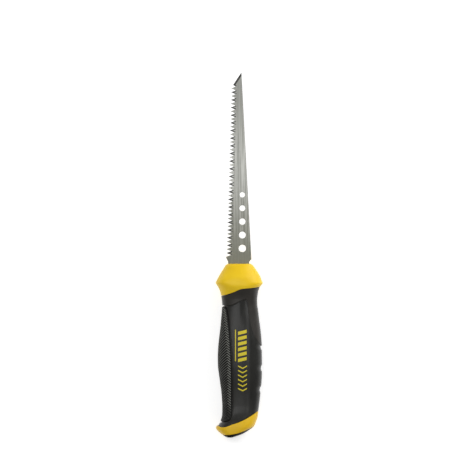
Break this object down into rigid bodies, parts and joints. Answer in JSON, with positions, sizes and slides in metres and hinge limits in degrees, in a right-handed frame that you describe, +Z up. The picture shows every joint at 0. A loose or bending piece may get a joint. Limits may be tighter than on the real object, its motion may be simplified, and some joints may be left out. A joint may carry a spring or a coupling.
{
  "type": "drywall saw",
  "caption": "Hand saw for plasterboard: a stiff tapered blade with ground teeth and a sharp plunge point, fixed in a moulded handle with a flared bolster and a hooked pommel.",
  "frame": {"origin": "centre of the saw's footprint as it lies on its side, on the floor", "axes": "+Y from butt to blade point, +Z up, square to the blade's flat, teeth towards -X"},
  "size_m": [0.0358, 0.2763, 0.029],
  "materials": {
    "blade_steel": "lengthwise brushed",
    "fastener_zinc": "zinc plated",
    "core_plastic": "moulded",
    "yellow_plastic": "satin moulded",
    "grip_rubber": "smooth matte",
    "textured_rubber": "moulded diagonal ribs",
    "cap_rubber": "matte"
  },
  "bodies": {
    "root": {"blade": "blade_steel", "core_lower": "core_plastic", "core_upper": "core_plastic", "tang_bolt_front": "fastener_zinc", "tang_bolt_middle": "fastener_zinc", "tang_bolt_rear": "fastener_zinc", "sleeve_nut_front": "fastener_zinc", "sleeve_nut_middle": "fastener_zinc", "sleeve_nut_rear": "fastener_zinc", "bolster": "yellow_plastic", "grip_sleeve": "grip_rubber", "finger_pad": "textured_rubber", "palm_pad": "grip_rubber", "pommel": "yellow_plastic", "butt_cap": "cap_rubber", "butt_screw_lower": "fastener_zinc", "butt_screw_upper": "fastener_zinc"}
  },
  "joints": []
}
